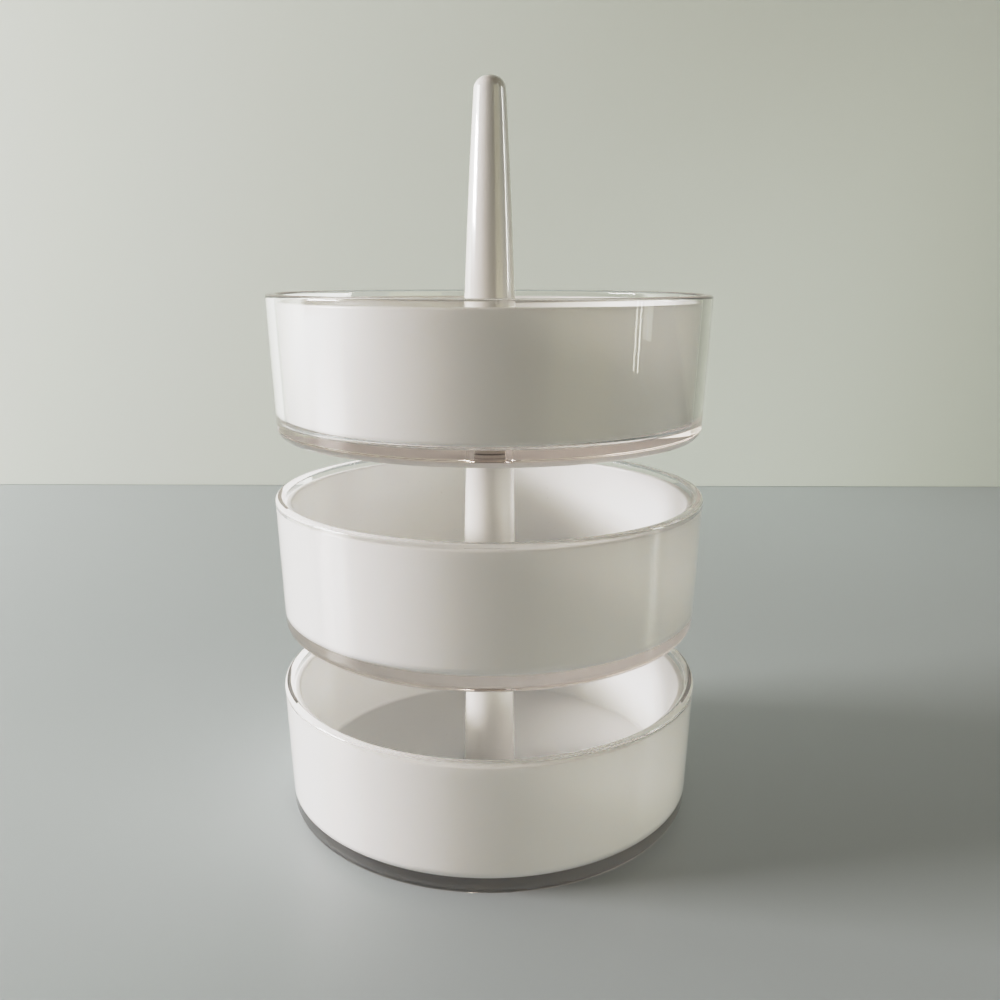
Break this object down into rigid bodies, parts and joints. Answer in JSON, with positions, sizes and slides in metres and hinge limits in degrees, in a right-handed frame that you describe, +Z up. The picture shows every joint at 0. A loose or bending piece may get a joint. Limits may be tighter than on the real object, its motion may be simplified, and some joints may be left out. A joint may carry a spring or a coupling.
{
  "type": "rotating jewelry organizer",
  "caption": "Tiered jewelry stand: round trays with clear outer walls and white liners turn about a central post that ends in a ring cone.",
  "frame": {"origin": "on the column's axis at the underside of the bottom tray", "axes": "+Z up along the column; the trays are round, so +X and +Y are free"},
  "size_m": [0.1499, 0.1498, 0.2523],
  "materials": {
    "clear_plastic": "clear moulded, polished",
    "white_plastic": "opaque white, glossy",
    "bearing_plastic": "natural acetal",
    "spindle_tube": "drawn tube",
    "steel_fastener": "zinc plated",
    "brass_insert": "turned"
  },
  "bodies": {
    "column": {"clear_bowl_bottom": "clear_plastic", "liner_bottom": "white_plastic", "post_lower": "white_plastic", "post_middle": "white_plastic", "spindle_lower": "spindle_tube", "spindle_middle": "spindle_tube", "ring_cone": "white_plastic", "cone_plug": "bearing_plastic", "cone_insert": "brass_insert", "tie_bolt": "steel_fastener", "bolt_washer": "steel_fastener", "thrust_washer_middle_lower": "bearing_plastic", "thrust_washer_top_lower": "bearing_plastic"},
    "middle_tray": {"clear_bowl_middle": "clear_plastic", "liner_middle": "white_plastic", "hub_bush_middle": "bearing_plastic", "hub_retainer_middle": "bearing_plastic", "thrust_washer_middle_upper": "bearing_plastic"},
    "top_tray": {"clear_bowl_top": "clear_plastic", "liner_top": "white_plastic", "hub_bush_top": "bearing_plastic", "hub_retainer_top": "bearing_plastic", "thrust_washer_top_upper": "bearing_plastic"}
  },
  "joints": [
    {"name": "middle_tray_spin", "type": "hinge", "parent": "column", "child": "middle_tray", "pos_m": [0, 0, 0.068], "axis": [0, 0, 1], "continuous": true},
    {"name": "top_tray_spin", "type": "hinge", "parent": "column", "child": "top_tray", "pos_m": [0, 0, 0.136], "axis": [0, 0, 1], "continuous": true}
  ]
}
